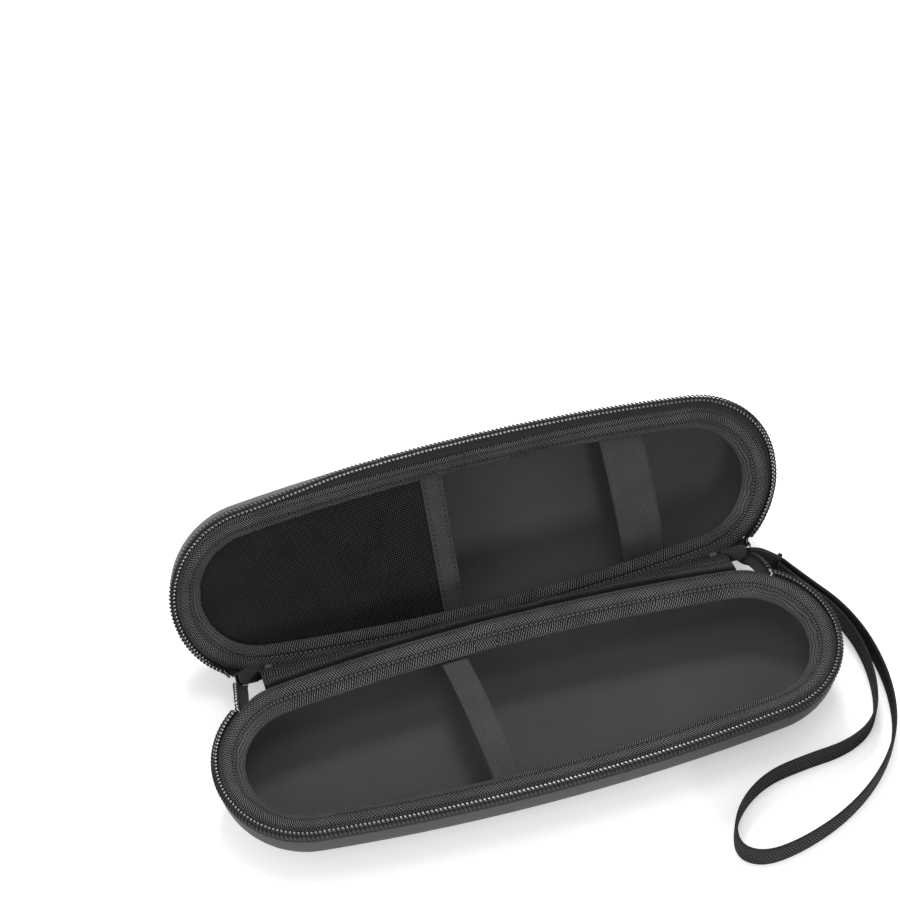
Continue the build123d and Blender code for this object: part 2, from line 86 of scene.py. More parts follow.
a, e, r = (radians(v) for v in (AZIMUTH, ELEVATION, ROLL))
back = Vector((sin(a) * cos(e), -cos(a) * cos(e), sin(e)))
right = Vector((cos(a), sin(a), 0))
up = back.cross(right)
rolled_right = right * cos(r) + up * sin(r)
rolled_up = up * cos(r) - right * sin(r)
bpy.ops.object.camera_add()
camera = bpy.context.object
camera.name = "camera"
camera.data.lens = LENS
camera.data.clip_end = FAR_CLIP
turn = Matrix((rolled_right, rolled_up, back)).transposed().to_4x4()
camera.matrix_world = Matrix.Translation(AIM + back * CAMERA_DISTANCE) @ turn
bpy.context.scene.camera = camera
print("camera stands at", [round(v, 3) for v in camera.location])

# %% [markdown]
# ## The plan of the case
# Both halves have the same plan: two round ends and two long sides that bow out a little.
# Everything that runs round the rim, the teeth, the tape and the cloth, follows this one
# line at its own inset. The line is measured in millimetres from the middle of the hinge
# side towards the right end, so a stitch or a tooth can be placed by its distance.

# %% Plan line
END_X, END_RADIUS = 87.0, 36.0
SIDE_RADIUS, SIDE_Y = 795.4, 754.4
HALF_WIDTH, HALF_DEPTH = 41.0, 28.0
SIDE_ANGLE = atan2(END_X, SIDE_Y)
SIDE_HALF = SIDE_RADIUS * SIDE_ANGLE
END_ARC = END_RADIUS * 2 * (pi / 2 - SIDE_ANGLE)
ROUND = 4 * SIDE_HALF + 2 * END_ARC


def plan_point(distance, inset=0.0):
    """Point of the plan and its outward direction, millimetres."""
    d = distance % ROUND
    if d < SIDE_HALF or d >= ROUND - SIDE_HALF:
        a = pi / 2 - (d if d < SIDE_HALF else d - ROUND) / SIDE_RADIUS
        centre, radius = (0.0, -SIDE_Y), SIDE_RADIUS
    elif d < SIDE_HALF + END_ARC:
        a = pi / 2 - SIDE_ANGLE - (d - SIDE_HALF) / END_RADIUS
        centre, radius = (END_X, 0.0), END_RADIUS
    elif d < 3 * SIDE_HALF + END_ARC:
        a = -pi / 2 + SIDE_ANGLE - (d - SIDE_HALF - END_ARC) / SIDE_RADIUS
        centre, radius = (0.0, SIDE_Y), SIDE_RADIUS
    else:
        a = -pi / 2 - SIDE_ANGLE - (d - 3 * SIDE_HALF - END_ARC) / END_RADIUS
        centre, radius = (-END_X, 0.0), END_RADIUS
    out = (cos(a), sin(a))
    return (centre[0] + (radius - inset) * out[0], centre[1] + (radius - inset) * out[1]), out


def half_width(x, inset):
    """How far the plan reaches to each side at x."""
    over = abs(x) - END_X - (END_RADIUS - inset) * sin(SIDE_ANGLE)
    if over <= 0:
        return sqrt((SIDE_RADIUS - inset) ** 2 - x * x) - SIDE_Y
    return sqrt(max(0.0, (END_RADIUS - inset) ** 2 - (abs(x) - END_X) ** 2))


HALVES = ("tray", "lid")
LID_LEAN, LID_SHIFT = radians(60), Vector((0, 91.449, 26.415)) * MM
LID = Matrix.Translation(LID_SHIFT) @ Matrix.Rotation(LID_LEAN, 4, "X")
print("round the teeth:", round(ROUND, 1), "mm")

# %% [markdown]
# ## Helpers for cloth and rows
# Cloth that follows a curved rim is easiest to make as it is sewn: a flat strip is cut, here
# a grid primitive, and every point of it is laid where the real strip would be. The same
# strip carries a UV map in millimetres, so a weave drawn on it has its real size. Solidify
# then gives the strip its thickness.

# %% Helpers
def deselect():
    bpy.ops.object.select_all(action="DESELECT")


def only(obj):
    """Selects one object alone, ready for an operator."""
    deselect()
    obj.select_set(True)
    bpy.context.view_layer.objects.active = obj
    return obj


def edit_all(obj):
    only(obj)
    bpy.ops.object.mode_set(mode="EDIT")
    bpy.ops.mesh.select_all(action="SELECT")


def leave_edit():
    bpy.ops.object.mode_set(mode="OBJECT")


def apply_all(obj):
    only(obj)
    for modifier in list(obj.modifiers):
        bpy.ops.object.modifier_apply(modifier=modifier.name)


def mend(obj, merge=None, fill=False):
    """Joins doubled points, closes open ends and turns every face outward."""
    edit_all(obj)
    if merge:
        bpy.ops.mesh.remove_doubles(threshold=merge)
    if fill:
        bpy.ops.mesh.fill_holes(sides=0)
    bpy.ops.mesh.normals_make_consistent(inside=False)
    leave_edit()


SEAM_GAP = 2e-6


def cloth_strip(name, columns, rows, place, size, closed=False, thick=None, offset=0.0):
    """A grid laid out by place(u, v), with UVs in millimetres of size (along, across)."""
    deselect()
    bpy.ops.mesh.primitive_grid_add(x_subdivisions=columns, y_subdivisions=rows, size=2)
    obj = bpy.context.object
    obj.name = obj.data.name = name
    uv = obj.data.uv_layers.active.data
    for loop in uv:
        loop.uv = (loop.uv[0] * size[0], loop.uv[1] * size[1])
    for vertex in obj.data.vertices:
        u, v = (vertex.co.x + 1) / 2, (vertex.co.y + 1) / 2
        vertex.co = Vector(place(u, v)) * MM
    mend(obj, SEAM_GAP if closed else None)
    if thick:
        shell = obj.modifiers.new("thickness", "SOLIDIFY")
        shell.thickness = thick * MM
        shell.offset = offset
        apply_all(obj)
        mend(obj)
    only(obj)
    bpy.ops.object.shade_smooth()
    return obj


def closed_tube(*strip):
    """A strip rolled shut along itself, with both ends filled."""
    obj = cloth_strip(*strip, closed=True)
    mend(obj, fill=True)
    return obj


def to_half(obj, half=1):
    """Leaves a piece on the tray (0), or turns it to the same place on the lid (1)."""
    if half:
        obj.data.transform(LID)
        obj.data.update()
    return obj


def curve_at(points, share):
    """Point of a smooth line through points, by its share of the way."""
    n = len(points) - 1
    at = min(max(share, 0.0), 1.0) * n
    k = min(int(at), n - 1)
    t = at - k
    p0, p1 = points[max(k - 1, 0)], points[k]
    p2, p3 = points[k + 1], points[min(k + 2, n)]
    return tuple(0.5 * (2 * b + (c - a) * t + (2 * a - 5 * b + 4 * c - d) * t * t
                        + (3 * b - a - 3 * c + d) * t ** 3)
                 for a, b, c, d in zip(p0, p1, p2, p3))


def squared(value, power):
    """Pulls a sine or cosine outward, to flatten the sides of a round section."""
    return abs(value) ** power * (1 if value >= 0 else -1)


def wobble(x, y=0.0, z=0.0, size=1.0):
    """Smooth noise between about -1 and 1, the same every time."""
    return noise.noise(Vector((x, y, z)) / size)


def bump(distance, centre, width):
    """1 at centre, falling to 0 at width either side, round the plan."""
    off = abs((distance - centre + ROUND / 2) % ROUND - ROUND / 2) / width
    return 0.0 if off >= 1 else (1 - off * off) ** 2


# %% [markdown]
# ## Weaves and finishes, as shared node groups
# The case is all one black, so what tells its parts apart is texture: herringbone binding,
# ribbed elastic, open net, matt rubbery paint and shiny nylon teeth. Each texture is drawn
# once as a node group with its real sizes as inputs, and put in each material that uses it.
# The cloth groups read the piece's own UV map, which is in millimetres.

# %% Node helpers
def new_group(name, outputs, **inputs):
    """A node group: a Vector and numbers in, numbers out."""
    tree = bpy.data.node_groups.new(name, "ShaderNodeTree")
    new_socket = tree.interface.new_socket
    new_socket("Vector", in_out="INPUT", socket_type="NodeSocketVector")
    for label, default in inputs.items():
        new_socket(label, in_out="INPUT", socket_type="NodeSocketFloat").default_value = default
    for label in outputs:
        new_socket(label, in_out="OUTPUT", socket_type="NodeSocketFloat")
    ins, outs = (tree.nodes.new(f"NodeGroup{kind}") for kind in ("Input", "Output"))
    return tree, ins.outputs, outs.inputs


def link(value, socket):
    """Gives a socket a number, a colour, or what another socket puts out."""
    if isinstance(value, (int, float)):
        socket.default_value = (value, value, value, 1) if socket.type == "RGBA" else value
    elif isinstance(value, tuple):
        socket.default_value = (*value, 1)
    else:
        socket.id_data.links.new(value, socket)


def calc(operation, *values):
    """A Math node in the tree of the sockets among its values."""
    tree = next(v.id_data for v in values if not isinstance(v, (int, float)))
    node = tree.nodes.new("ShaderNodeMath")
    node.operation = operation
    for value, socket in zip(values, node.inputs):
        link(value, socket)
    return node.outputs[0]


def clamp(value):
    """Keeps a value between 0 and 1."""
    return calc("MINIMUM", calc("MAXIMUM", value, 0.0), 1.0)


def humps(turns):
    """A row of round humps, one to a turn."""
    return calc("ABSOLUTE", calc("SINE", calc("MULTIPLY", turns, pi)))


def split(vector):
    """Distance along the strip and across it."""
    node = vector.id_data.nodes.new("ShaderNodeSeparateXYZ")
    link(vector, node.inputs[0])
    return node.outputs[0], node.outputs[1]


def noise_at(vector, scale, detail=2.0):
    node = vector.id_data.nodes.new("ShaderNodeTexNoise")
    node.inputs["Detail"].default_value = detail
    link(scale, node.inputs["Scale"])
    link(vector, node.inputs["Vector"])
    return node.outputs["Fac"]


# %% Herringbone, ribs, net and stitches
def herringbone():
    """Slanting threads that turn at each column; Vector in mm along and across."""
    tree, ins, outs = new_group("herringbone weave", ("Height", "Thread"),
                                Pitch=0.96, Column=4.6, Slope=0.62, Shift=1.4)
    along, across = split(ins["Vector"])
    slack = calc("MULTIPLY", noise_at(ins["Vector"], 0.3, 1), 1.1)
    zig = calc("PINGPONG", calc("ADD", across, ins["Shift"]), ins["Column"])
    lean = calc("MULTIPLY_ADD", zig, ins["Slope"], slack)
    phase = calc("DIVIDE", calc("ADD", along, lean), ins["Pitch"])
    wave = calc("SINE", calc("MULTIPLY", phase, 2 * pi))
    thread = clamp(calc("MULTIPLY_ADD", wave, 0.8, 0.45))
    step = calc("MULTIPLY", calc("FLOOR", phase), 0.5)
    bead_at = calc("ADD", calc("DIVIDE", across, 0.95), step)
    bead = calc("MULTIPLY_ADD", humps(bead_at), 0.5, 0.5)
    share = calc("DIVIDE", zig, ins["Column"])
    ridge = calc("POWER", calc("SINE", calc("MULTIPLY", share, pi)), 0.15)
    height = calc("MULTIPLY", calc("MULTIPLY", thread, bead), ridge)
    link(height, outs["Height"])
    link(calc("POWER", height, 1.7), outs["Thread"])
    return tree


def ribbed():
    """Cords along the strip, crossed by finer picks and broken up by slack threads."""
    tree, ins, outs = new_group("ribbed weave", ("Height", "Thread"), Rib=1.2, Pick=0.6)
    along, across = split(ins["Vector"])
    rib_at = calc("DIVIDE", across, ins["Rib"])
    shift = calc("MULTIPLY", calc("FLOOR", rib_at), 0.37)
    lean = calc("MULTIPLY", across, 0.5)
    pick_at = calc("DIVIDE", calc("ADD", along, lean), ins["Pick"])
    pick = humps(calc("ADD", pick_at, shift))
    slack = noise_at(ins["Vector"], 1.4)
    rib = calc("POWER", humps(rib_at), 0.5)
    body = calc("MULTIPLY", rib, calc("MULTIPLY_ADD", pick, 0.45, 0.55))
    height = calc("MULTIPLY", body, calc("MULTIPLY_ADD", slack, 2.2, -0.1))
    link(height, outs["Height"])
    link(calc("MINIMUM", height, 1.0), outs["Thread"])
    return tree


def netting():
    """Fine knitted net: two slanting families of thread, with a knot where they cross."""
    tree, ins, outs = new_group("knitted net", ("Thread", "Height", "Knot"), Hole=1.05, Thread=0.42)
    along, across = split(ins["Vector"])
    ways = []
    for operation in ("ADD", "SUBTRACT"):
        at = calc("DIVIDE", calc(operation, along, across), ins["Hole"])
        off = calc("SUBTRACT", calc("FRACT", at), 0.5)
        ways.append(calc("ABSOLUTE", off))
    near, far = calc("MINIMUM", *ways), calc("MAXIMUM", *ways)
    link(calc("LESS_THAN", near, ins["Thread"]), outs["Thread"])
    link(calc("SUBTRACT", 0.5, near), outs["Height"])
    knot = calc("MULTIPLY", calc("SUBTRACT", 0.26, far), 6.0)
    link(clamp(knot), outs["Knot"])
    return tree


def stitches():
    """A row of sewn stitches at one distance across the strip, in the groove it pulls down."""
    tree, ins, outs = new_group("stitch row", ("Mask", "Sunk"),
                                Row=3.0, Step=1.9, Width=0.24, Groove=0.6)
    along, across = split(ins["Vector"])
    off = calc("ABSOLUTE", calc("SUBTRACT", across, ins["Row"]))
    near = calc("LESS_THAN", off, ins["Width"])
    at = calc("FRACT", calc("DIVIDE", along, ins["Step"]))
    link(calc("MULTIPLY", near, calc("LESS_THAN", at, 0.68)), outs["Mask"])
    sunk = calc("SUBTRACT", 1.0, calc("DIVIDE", off, ins["Groove"]))
    link(calc("MAXIMUM", sunk, 0.0), outs["Sunk"])
    return tree


def gathers():
    """Lengthwise folds where a tape is eased round the two ends of the case."""
    tree, ins, outs = new_group("gathered tape", ("Mask", "Height"),
                                Fold=0.95, From=5.6, Reach=42.0)
    along, across = split(ins["Vector"])
    folded = calc("PINGPONG", along, ROUND / 2)
    off = calc("ABSOLUTE", calc("SUBTRACT", folded, ROUND / 4))
    near = calc("SUBTRACT", 1.5, calc("DIVIDE", off, ins["Reach"]))
    inside = calc("DIVIDE", calc("SUBTRACT", across, ins["From"]), 2.5)
    mask = calc("MULTIPLY", clamp(near), clamp(inside))
    link(mask, outs["Mask"])
    drift = calc("MULTIPLY", noise_at(ins["Vector"], 0.12), 2.6)
    folds = humps(calc("DIVIDE", calc("ADD", across, drift), ins["Fold"]))
    link(calc("POWER", folds, 0.9), outs["Height"])
    return tree


def uneven():
    """Slow and fine variation of colour: dye, wear and lint."""
    tree, ins, outs = new_group("uneven dye and lint", ("Shade", "Lint"), Coarse=60.0, Fine=900.0)
    link(noise_at(ins["Vector"], ins["Coarse"], 3.0), outs["Shade"])
    lint = calc("SUBTRACT", noise_at(ins["Vector"], ins["Fine"]), 0.62)
    link(clamp(calc("MULTIPLY", lint, 6.0)), outs["Lint"])
    return tree


HERRINGBONE, RIBBED, NETTING, STITCHES = herringbone(), ribbed(), netting(), stitches()
GATHERS, UNEVEN = gathers(), uneven()
print("node groups:", [g.name for g in bpy.data.node_groups])


# %% Material helpers
def new_material(name, roughness=0.6, **sockets):
    """A material with a Principled shader; sockets set constants by name."""
    material = bpy.data.materials.new(name)
    material.use_nodes = True
    tree = material.node_tree
    shader = tree.nodes["Principled BSDF"]
    shader.inputs["Roughness"].default_value = roughness
    for label, value in sockets.items():
        shader.inputs[label.replace("_", " ")].default_value = value
    return material, tree, shader.inputs


def coords(tree, kind="Object"):
    node = tree.nodes.new("ShaderNodeTexCoord")
    return node.outputs[kind]


def use(group, vector, **values):
    node = vector.id_data.nodes.new("ShaderNodeGroup")
    node.node_tree = group
    link(vector, node.inputs["Vector"])
    for label, value in values.items():
        node.inputs[label].default_value = value
    return node.outputs


def mix(factor, low, high):
    """Colour from low to high by a mask."""
    node = factor.id_data.nodes.new("ShaderNodeMix")
    node.data_type = "RGBA"
    link(factor, node.inputs["Factor"])
    for label, value in (("A", low), ("B", high)):
        socket = next(s for s in node.inputs if s.name == label and s.type == "RGBA")
        link(value, socket)
    return next(s for s in node.outputs if s.type == "RGBA")


def add_bump(inputs, height, distance, strength=1.0):
    node = height.id_data.nodes.new("ShaderNodeBump")
    node.inputs["Strength"].default_value = strength
    node.inputs["Distance"].default_value = distance * MM
    link(height, node.inputs["Height"])
    link(node.outputs["Normal"], inputs["Normal"])


def shaded(ins, here, colour, low, high, coarse, fine):
    """Base colour that drifts between two shares of itself; gives the drift."""
    shade = use(UNEVEN, here, Coarse=coarse, Fine=fine)["Shade"]
    link(mix(shade, colour * low, colour * high), ins["Base Color"])
    return shade


# %% Rigid finishes
def soft_touch(name, colour, shine=0.45):
    """Rubbery matt paint over moulded foam: even, with a very fine grain."""
    material, tree, ins = new_material(name, Specular_IOR_Level=shine)
    here = coords(tree)
    shade = shaded(ins, here, colour, 0.82, 1.2, 22.0, 700.0)
    link(calc("MULTIPLY_ADD", shade, 0.18, 0.4), ins["Roughness"])
    add_bump(ins, noise_at(here, 2200), 0.03, 0.35)
    return material


def moulded_cloth(name, colour):
    """The lining: knit laminated to foam and pressed smooth."""
    material, tree, ins = new_material(name, 0.85, Specular_IOR_Level=0.25)
    here = coords(tree)
    patches = use(UNEVEN, here, Coarse=26.0, Fine=1500.0)
    base = mix(patches["Shade"], colour * 0.8, colour * 1.25)
    link(mix(patches["Lint"], base, colour * 1.6), ins["Base Color"])
    add_bump(ins, noise_at(here, 3000), 0.05, 0.4)
    return material


def metal(name, colour, metallic, roughness, shine=0.5):
    """Cast or drawn metal, bare or painted, with a faint tumbled grain."""
    material, tree, ins = new_material(name, roughness, Metallic=metallic, Specular_IOR_Level=shine)
    here = coords(tree)
    shade = shaded(ins, here, colour, 0.75, 1.25, 300.0, 2500.0)
    link(calc("MULTIPLY_ADD", shade, 0.25, roughness - 0.12), ins["Roughness"])
    add_bump(ins, noise_at(here, 1800, 3), 0.02, 0.3)
    return material


def nylon(name, colour):
    """Drawn nylon: dark and glossy, each tooth a little different."""
    material, tree, ins = new_material(name, 0.2, Specular_IOR_Level=0.34, Coat_Roughness=0.12,
                                       Coat_Weight=0.25)
    shade = shaded(ins, coords(tree), colour, 0.5, 1.6, 420.0, 2500.0)
    link(calc("MULTIPLY_ADD", shade, 0.3, 0.1), ins["Roughness"])
    return material


SHELL = soft_touch("soft touch shell", 0.044)
LINING = moulded_cloth("moulded lining", 0.04)
TEETH = nylon("zip nylon", 0.008)
DULL_TEETH = soft_touch("loose zip nylon", 0.014)
THREAD = soft_touch("sewing thread", 0.005, 0.15)
STOPS = soft_touch("moulded zip stop", 0.015)
SLIDER = metal("black painted slider", 0.007, 0.0, 0.34, 0.25)
RING = metal("dark ring steel", 0.28, 1.0, 0.28)


# %% Cloth finishes
def sewn_rows(flat, colour, height, rows, dark, thread):
    """Adds sewn rows to a cloth's colour and height sockets, with painted shade in each groove."""
    for row, step in rows:
        sewn = use(STITCHES, flat, Row=row, Step=step)
        # painted shade: the colour is darkened along each stitch groove
        colour = mix(sewn["Sunk"], colour, dark)
        colour = mix(sewn["Mask"], colour, thread)
        height = calc("SUBTRACT", height, calc("MULTIPLY", sewn["Sunk"], 1.6))
        height = calc("MULTIPLY_ADD", sewn["Mask"], 0.7, height)
    return colour, height


def mix_values(factor, low, high):
    """Number from low to high by a mask."""
    rise = calc("SUBTRACT", high, low)
    return calc("MULTIPLY_ADD", rise, factor, low)


def binding_cloth(name, dark, light, rows=(), shade=None, gathered=False, **weave):
    """Herringbone; rows are stitches, shade paints a dark line of painted shade, gathered folds it
    at the ends, with painted shade in the folds' hollows.
    """
    material, tree, ins = new_material(name, 0.8, Specular_IOR_Level=0.1)
    flat = coords(tree, "UV")
    woven = use(HERRINGBONE, flat, **weave)
    patches = use(UNEVEN, coords(tree), Coarse=90.0, Fine=1400.0)
    bright = mix(patches["Shade"], light * 0.55, light * 1.6)
    thread, height = woven["Thread"], woven["Height"]
    # painted shade: where the tape gathers, the fold height also sets the colour, so the hollows
    # between folds are painted darker
    if gathered:
        folds = use(GATHERS, flat)
        pulled = calc("MULTIPLY", folds["Mask"], 0.75)
        soft = calc("MULTIPLY_ADD", height, 0.5, 0.25)
        soft = calc("MULTIPLY", folds["Height"], soft)
        thread = mix_values(pulled, thread, soft)
        height = mix_values(pulled, height, folds["Height"])
    colour = mix(thread, dark, bright)
    colour, height = sewn_rows(flat, colour, height, rows, dark * 0.5, light * 0.55)
    # painted shade: shade=(row, width) darkens the colour to near black along one line of the strip
    if shade:
        painted_crease_shade = use(STITCHES, flat, Row=shade[0], Groove=shade[1])["Sunk"]
        crease_shade_strength = calc("MINIMUM", calc("MULTIPLY", painted_crease_shade, 1.6), 1.0)
        colour = mix(crease_shade_strength, colour, 0.003)
    link(colour, ins["Base Color"])
    add_bump(ins, height, 0.3)
    return material


def ribbed_cloth(name, dark, light, rows=(), **weave):
    """Elastic, zip tape and folded webbing: cords along the strip."""
    material, tree, ins = new_material(name, 0.78, Specular_IOR_Level=0.25)
    flat = coords(tree, "UV")
    woven = use(RIBBED, flat, **weave)
    patches = use(UNEVEN, coords(tree), Coarse=110.0, Fine=1500.0)
    low, high = (tuple(c * share for c in light) for share in (0.7, 1.3))
    bright = mix(patches["Shade"], low, high)
    colour = mix(woven["Thread"], dark, bright)
    colour, height = sewn_rows(flat, colour, woven["Height"], rows, 0.005, light)
    link(colour, ins["Base Color"])
    add_bump(ins, height, 0.15)
    return material


def net_cloth(name, colour, knot_glint):
    """Knitted net, open between its threads, with its knots painted lighter as a painted highlight.
    """
    material, tree, ins = new_material(name, 0.7, Specular_IOR_Level=0.05)
    net = use(NETTING, coords(tree, "UV"))
    shade = use(UNEVEN, coords(tree))["Shade"]
    # painted highlight: a lighter colour at the knots stands for glints on them
    bright = mix(shade, knot_glint * 0.5, knot_glint * 1.5)
    link(mix(net["Knot"], colour, bright), ins["Base Color"])
    link(net["Thread"], ins["Alpha"])
    add_bump(ins, net["Height"], 0.1)
    return material


def coated_cloth(name, colour):
    """The outer cover at the hinge: thin coated cloth with a pebbled grain."""
    material, tree, ins = new_material(name, 0.5)
    here = coords(tree)
    shaded(ins, here, colour, 0.7, 1.3, 40.0, 900.0)
    cells = tree.nodes.new("ShaderNodeTexVoronoi")
    cells.inputs["Scale"].default_value = 900
    link(here, cells.inputs["Vector"])
    add_bump(ins, cells.outputs["Distance"], 0.12, 0.6)
    return material


GREY_ELASTIC = (0.046, 0.051, 0.049)
BINDING = binding_cloth("herringbone binding", 0.004, 0.165, rows=((7.4, 1.9),), gathered=True)
# The gusset's threads are set dimmer than the binding's, and shade=(5.2, 3.4) darkens it beside the
# tray's tape: painted shade of the hinge valley.
GUSSET = binding_cloth("gusset cloth", 0.004, 0.1, rows=((14.5, 1.9),), shade=(5.2, 3.4),
                       Pitch=0.96, Column=2.3, Slope=0.2)
ZIP_TAPE = ribbed_cloth("zip tape weave", 0.006, (0.03,) * 3, Rib=0.9, Pick=0.45)
ZIP_EDGE = ribbed_cloth("zip tape along the teeth", 0.006, (0.02,) * 3, rows=((1.15, 1.65),),
                        Rib=0.7, Pick=0.9)
ELASTIC = ribbed_cloth("ribbed elastic", 0.016, GREY_ELASTIC, Rib=0.9, Pick=1.15)
BAND = ribbed_cloth("pocket band elastic", 0.012, GREY_ELASTIC, rows=((1.3, 2.2), (7.4, 2.2)),
                    Rib=0.87, Pick=1.15)
WEBBING = binding_cloth("strap webbing", 0.01, 0.075, Pitch=1.2, Column=40.0, Slope=0.9)
SLEEVE_CLOTH = ribbed_cloth("folded sleeve webbing", 0.005, (0.026,) * 3, Rib=1.0, Pick=0.9)
NET = net_cloth("pocket net", 0.003, 0.07)
COVER = coated_cloth("hinge cover", 0.04)


def dress(obj, body, slot, material, *nodes):
    """Paint a piece, set it on its body or bake it in place if it lies between bodies, and let it
    stand for its model nodes.
    """
    obj.data.materials.clear()
    obj.data.materials.append(material)
    if isinstance(body, str):
        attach(obj, body)
    else:
        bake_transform(obj)
    if nodes:
        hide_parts(*nodes)
    on = body if isinstance(body, str) else body[:2]
    print(f"{obj.name:22s} {len(obj.data.polygons):7d} faces on {on}")


# %% [markdown]
# ## The wrist strap
# A strap of 10 mm polyester webbing leaves the sleeve at the right end of the hinge, stands
# on its edge on the table, runs out to the side, turns in a free loop and comes back beside
# itself. A smooth line gives its route, and the ribbon is a rounded section carried along
# that line, so that its edges stay the right distance apart in every bend.

# %% Route of the strap
EDGE_Z = 5.3
OUT_RUN = [(119.6, 44.8), (126.1, 32.0), (134.0, 18.0), (138.5, 0.0), (138.3, -22.0),
           (132.3, -42.5), (119.5, -58.5), (101.0, -71.0), (80.0, -78.3), (63.5, -79.8)]
BACK_RUN = [(55.4, -72.5), (61.5, -58.0), (76.0, -47.8), (93.0, -45.0), (112.0, -43.8),
            (126.0, -36.5), (132.8, -21.0), (135.0, -1.0), (131.3, 17.0), (123.9, 30.2),
            (117.3, 43.5)]


def smooth_route(points):
    """Points of the smooth line that has these as its control points."""
    line = bpy.data.curves.new("strap_route", "CURVE")
    line.dimensions = "3D"
    line.resolution_u = 14
    spline = line.splines.new("NURBS")
    spline.points.add(len(points) - 1)
    for point, place in zip(spline.points, points):
        point.co = (*place, 1)
    spline.order_u = 3
    spline.use_endpoint_u = True
    holder = bpy.data.objects.new("strap_route", line)
    bpy.context.scene.collection.objects.link(holder)
    bpy.context.view_layer.update()
    mesh = bpy.data.meshes.new_from_object(holder)
    route = [v.co.copy() for v in mesh.vertices]
    bpy.data.objects.remove(holder)
    bpy.data.meshes.remove(mesh)
    return route


route = smooth_route([Vector((x, y, EDGE_Z)) * MM for x, y in OUT_RUN + BACK_RUN])
steps = [0.0]
for a, b in zip(route, route[1:]):
    steps.append(steps[-1] + (b - a).length)
STRAP_LENGTH = steps[-1]
print("strap line:", len(route), "points,", round(STRAP_LENGTH / MM, 1), "mm")


def route_at(distance):
    """Point of the strap's line and its sideways direction at a distance."""
    d = min(max(distance, 0.0), STRAP_LENGTH)
    k = next((i for i in range(1, len(steps)) if steps[i] >= d), len(steps) - 1)
    share = (d - steps[k - 1]) / (steps[k] - steps[k - 1])
    point = route[k - 1].lerp(route[k], share)
    along = (route[min(k + 1, len(route) - 1)] - route[max(k - 2, 0)]).normalized()
    return point, Vector((along.y, -along.x, 0))


# %% Ribbon of webbing
WEB_WIDTH, WEB_THICK = 10.0, 1.3


def web_point(u, v):
    """Around the webbing's section by v, along it by u."""
    point, side = route_at(u * STRAP_LENGTH)
    a = 2 * pi * v
    out = WEB_THICK / 2 * squared(cos(a), 0.3)
    up = WEB_WIDTH / 2 * squared(sin(a), 0.75)
    return point / MM + side * out + Vector((0, 0, up))


strap = closed_tube("wrist_strap_webbing", 420, 28, web_point,
                    (STRAP_LENGTH / MM, 2 * (WEB_WIDTH + WEB_THICK)))
dress(strap, ("tray", "zip_end_right", (128, 32, 5), (116, 48, 8)), "webbing", WEBBING,
      "wrist_strap")

# %% [markdown]
# ## Shells and linings
# Each half is moulded foam with a skin on both faces. The model's own solids have the right
# shape, so they stay, and only get their finishes.

# %% Paint the shells and linings
for body in HALVES:
    for part, material in (("shell", SHELL), ("lining", LINING)):
        materials = frame["nodes"][f"{body}_{part}"].data.materials
        materials.clear()
        materials.append(material)

# %% [markdown]
# ## Binding tape
# A woven herringbone tape rolls over the raw rim and down into each opening, where it is
# sewn to the lining. Tape laid round a tight curve has too much length on its inner edge,
# and gathers there, so the strip gets puckers round the ends and soft ripples elsewhere, and
# its material draws the long folds that are too fine for the mesh, as bumps and as painted
# shade in their hollows.

# %% Binding tape
TAPE_SECTION = [(2.75, 25.6), (3.0, 26.5), (3.7, 27.15), (4.9, 27.45), (6.3, 27.3), (7.8, 26.8),
                (9.3, 25.7), (10.9, 24.4), (12.2, 23.3), (12.7, 22.7)]
TAPE_WIDTH, SEAM = 12.0, 0.62
LAP_AT, LAP_LENGTH = (-4.4, ROUND / 2 - 6.5), 9.0
SPREAD, SPREAD_REACH, SPREAD_FADE = (2.0, 2.9), 112, 14
ENDS, END_REACH, PUCKER = (SIDE_HALF + END_ARC / 2, 3 * SIDE_HALF + 1.5 * END_ARC), 75, 3.4


def bare_edge(distance, half):
    """Share of its section that the tape leaves bare beside the teeth."""
    wide = 0.26 * bump(distance, -5, 120) if half else 0.0
    return max(0.0, wide + 0.02 * wobble(distance, 31.0, size=14.0))


def ease(value):
    at = min(max(value, 0.0), 1.0)
    return at * at * (3 - 2 * at)


def spread(distance, half):
    """At the hinge there are no teeth, so the tape reaches further out over the edge."""
    from_hinge = abs((distance + ROUND / 2 * (1 - half)) % ROUND - ROUND / 2)
    return SPREAD[half] * ease((SPREAD_REACH - from_hinge) / SPREAD_FADE)


def tape_point(distance, v, half, above=0.0):
    bare = bare_edge(distance, half)
    inset, z = curve_at(TAPE_SECTION, bare + (1 - bare) * v)
    edge = max(0.0, 1 - v / 0.1)
    over = spread(distance, half) * (1 - v) ** 3
    z -= edge * edge * 6.0 * bare + 0.3 * over
    point, out = plan_point(distance, inset - over)
    at_end = max(bump(distance, end, END_REACH) for end in ENDS)
    inner = v * v
    ripple = wobble(distance, 7.0 * half, v * 3.0, size=5.0) * (0.22 + 0.6 * at_end * inner)
    turn = distance * 2 * pi / PUCKER + 3 * wobble(distance, size=20.0)
    pucker = sin(turn) * at_end * inner * 0.2
    sunk = 0.4 * max(0.0, 1 - abs(v - SEAM) / 0.07)
    fray = 0.18 * wobble(distance, 5.0, half, size=1.3) * max(0.0, v - 0.9) * 10
    lift = ripple + pucker - sunk + above
    inward = -lift * 0.3 + fray
    return point[0] + out[0] * inward, point[1] + out[1] * inward, z + lift * 0.7


def binding(name, half):
    return cloth_strip(name, 780, 24, lambda u, v: tape_point(u * ROUND, v, half),
                       (ROUND, TAPE_WIDTH), closed=True, thick=0.7, offset=-1.0)


